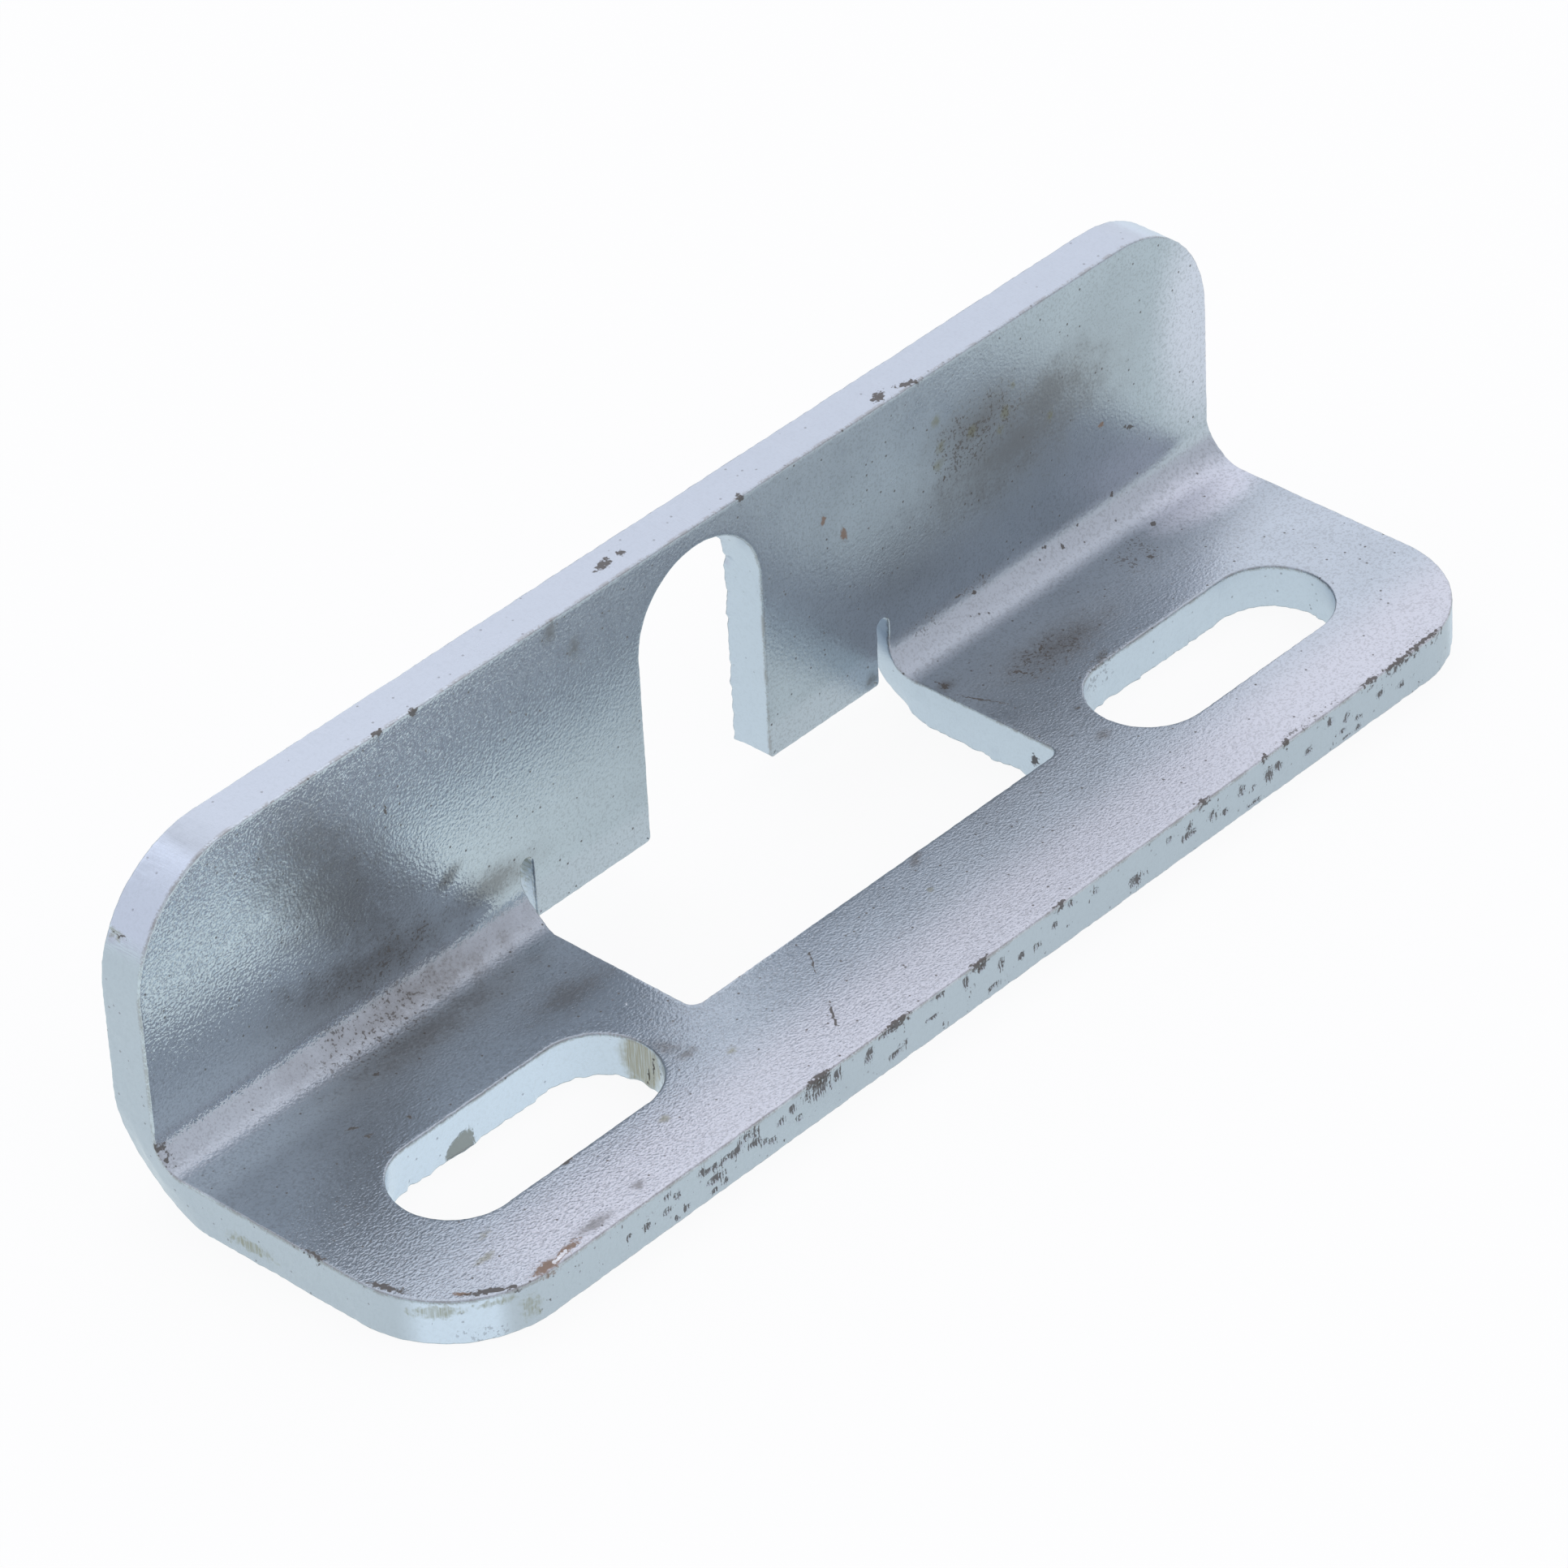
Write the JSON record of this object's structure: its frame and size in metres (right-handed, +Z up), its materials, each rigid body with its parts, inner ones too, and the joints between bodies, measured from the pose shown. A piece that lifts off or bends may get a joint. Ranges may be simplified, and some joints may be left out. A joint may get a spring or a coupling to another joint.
{
  "type": "stamped angle bracket",
  "caption": "Pressed steel angle bracket: long bolt slots in the base, a window cut through the bend, and hanging tabs either side of a round-topped notch in the upright.",
  "frame": {"origin": "under the middle of the part: half way along it, half way across it, on the base's underside", "axes": "+X along the length, +Y from the base's free edge to the upright's outer face, +Z up"},
  "size_m": [0.1206, 0.0346, 0.0289],
  "materials": {
    "zinc_plate": "satin bright zinc plating, lightly worn, with small rust spots"
  },
  "bodies": {
    "root": {"bracket": "zinc_plate"}
  },
  "joints": []
}
